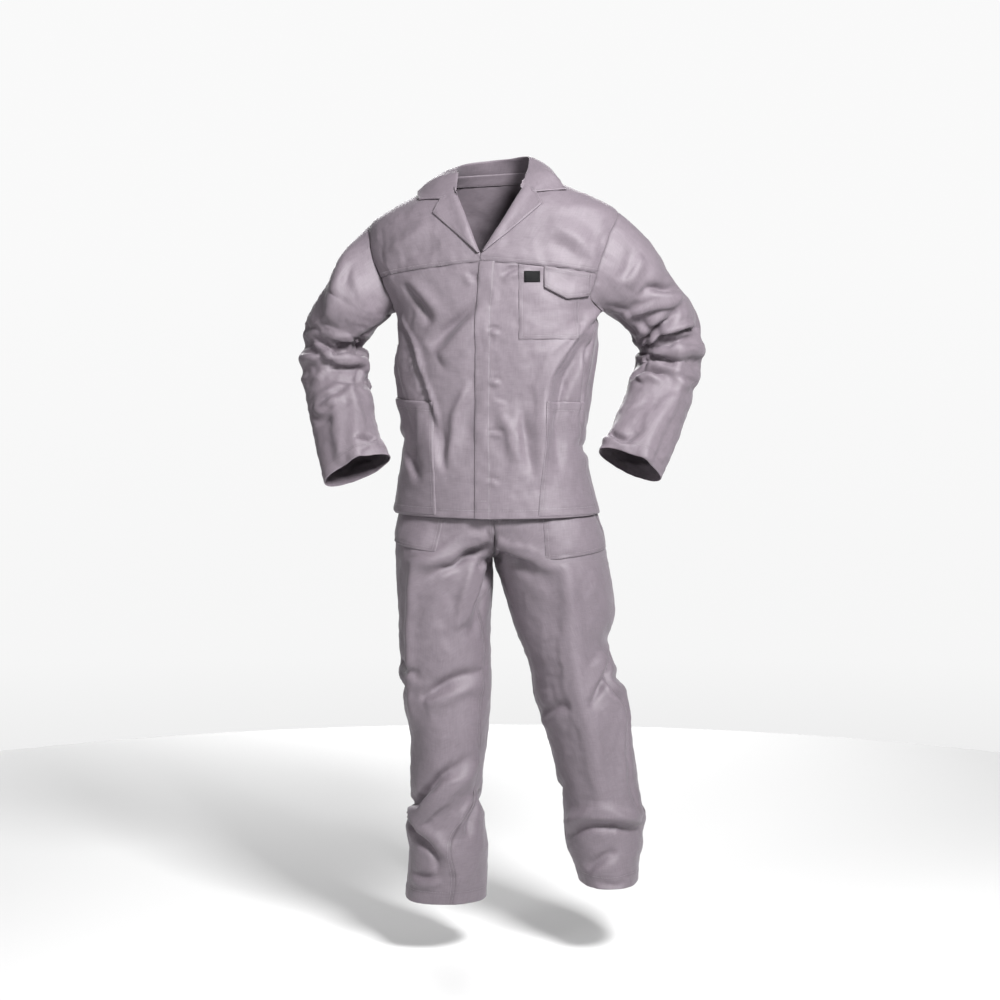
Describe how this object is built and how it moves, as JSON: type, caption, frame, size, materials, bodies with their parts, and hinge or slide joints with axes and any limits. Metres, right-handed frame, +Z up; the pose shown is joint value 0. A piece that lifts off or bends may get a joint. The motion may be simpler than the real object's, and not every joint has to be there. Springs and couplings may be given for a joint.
{
  "type": "two-piece overalls, jacket and trousers, in worn form with no wearer",
  "caption": "Grey twill work jacket and trousers in worn form, hollow: open turned-down collar, hidden-button front, flap chest pocket, patch pockets, arms bent with cuffs at the hips.",
  "frame": {"origin": "between the shoulders, 1.500 m above the wearer's soles and on the body's middle plane: the point where the wearer's shoulders carry the suit", "axes": "+Z up, +X towards the wearer's left hand, -Y to the front; the body is turned 13 degrees towards -X about Z"},
  "size_m": [0.8055, 0.3084, 1.4684],
  "materials": {
    "grey_twill": "polyester-cotton twill with a soft sheen",
    "label_cloth": "plain woven label, matte"
  },
  "bodies": {
    "root": {"chest_pocket": "grey_twill", "chest_pocket_flap": "grey_twill", "collar": "grey_twill", "fly": "grey_twill", "front_placket": "grey_twill", "jacket_back": "grey_twill", "jacket_left_front": "grey_twill", "jacket_right_front": "grey_twill", "label": "label_cloth", "left_hip_pocket": "grey_twill", "left_lapel": "grey_twill", "left_leg_back": "grey_twill", "left_leg_front": "grey_twill", "left_lower_pocket": "grey_twill", "left_sleeve": "grey_twill", "left_yoke": "grey_twill", "right_hip_pocket": "grey_twill", "right_lapel": "grey_twill", "right_leg_back": "grey_twill", "right_leg_front": "grey_twill", "right_lower_pocket": "grey_twill", "right_sleeve": "grey_twill", "right_yoke": "grey_twill", "waistband": "grey_twill"}
  },
  "joints": []
}
